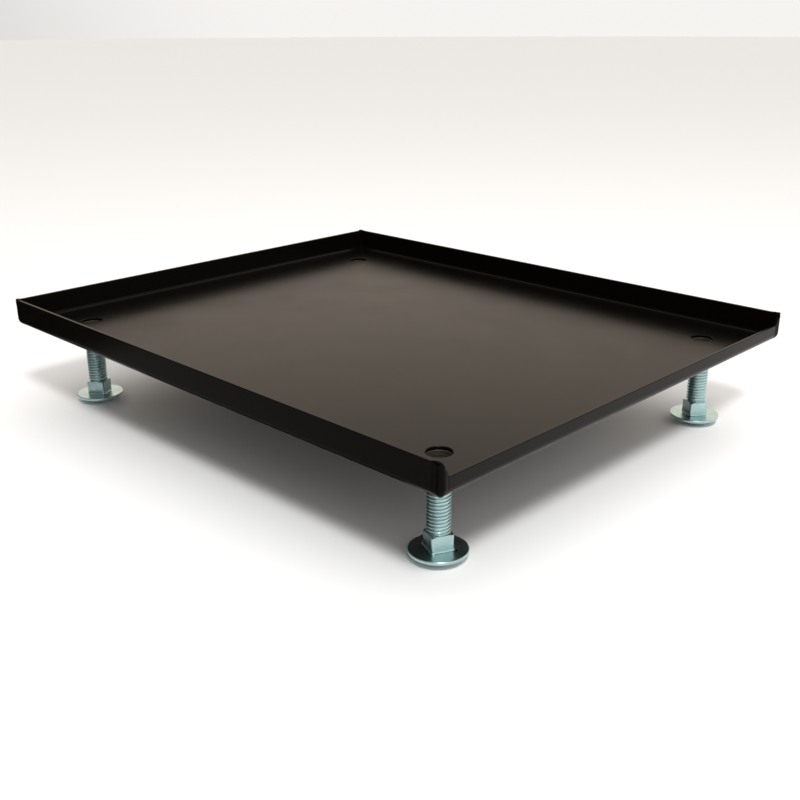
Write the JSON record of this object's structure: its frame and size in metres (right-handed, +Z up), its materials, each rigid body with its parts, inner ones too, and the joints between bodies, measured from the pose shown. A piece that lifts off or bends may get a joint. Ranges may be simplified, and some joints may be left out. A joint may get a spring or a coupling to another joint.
{
  "type": "levelling tray riser",
  "caption": "Shallow black folded-steel tray with raised lips, the front one lower, standing on carriage bolts screwed in head down as levelling feet.",
  "frame": {"origin": "under the middle of the tray, on the plane the four domed feet stand on", "axes": "+X along the low front lip to the right, +Y from the low front lip to the back lip, +Z up"},
  "size_m": [0.254, 0.305, 0.0574],
  "materials": {
    "black_powder_coat": "satin black powder coat with a fine grain",
    "zinc_plate": "bright zinc plate, faintly blue"
  },
  "bodies": {
    "tray": {"tray_pan": "black_powder_coat", "corner_weld_front_left": "black_powder_coat", "weld_nut_front_left": "black_powder_coat", "nut_tacks_front_left": "black_powder_coat", "corner_weld_front_right": "black_powder_coat", "weld_nut_front_right": "black_powder_coat", "nut_tacks_front_right": "black_powder_coat", "corner_weld_back_left": "black_powder_coat", "weld_nut_back_left": "black_powder_coat", "nut_tacks_back_left": "black_powder_coat", "corner_weld_back_right": "black_powder_coat", "weld_nut_back_right": "black_powder_coat", "nut_tacks_back_right": "black_powder_coat"},
    "foot_front_left": {"foot_bolt_front_left": "zinc_plate"},
    "foot_front_right": {"foot_bolt_front_right": "zinc_plate"},
    "foot_back_left": {"foot_bolt_back_left": "zinc_plate"},
    "foot_back_right": {"foot_bolt_back_right": "zinc_plate"}
  },
  "joints": [
    {"name": "foot_height_front_left", "type": "slide", "parent": "tray", "child": "foot_front_left", "axis": [0, 0, 1], "range_m": [-0.001, 0.0235]},
    {"name": "foot_height_front_right", "type": "slide", "parent": "tray", "child": "foot_front_right", "axis": [0, 0, 1], "range_m": [-0.001, 0.0235]},
    {"name": "foot_height_back_left", "type": "slide", "parent": "tray", "child": "foot_back_left", "axis": [0, 0, 1], "range_m": [-0.001, 0.0235]},
    {"name": "foot_height_back_right", "type": "slide", "parent": "tray", "child": "foot_back_right", "axis": [0, 0, 1], "range_m": [-0.001, 0.0235]}
  ]
}
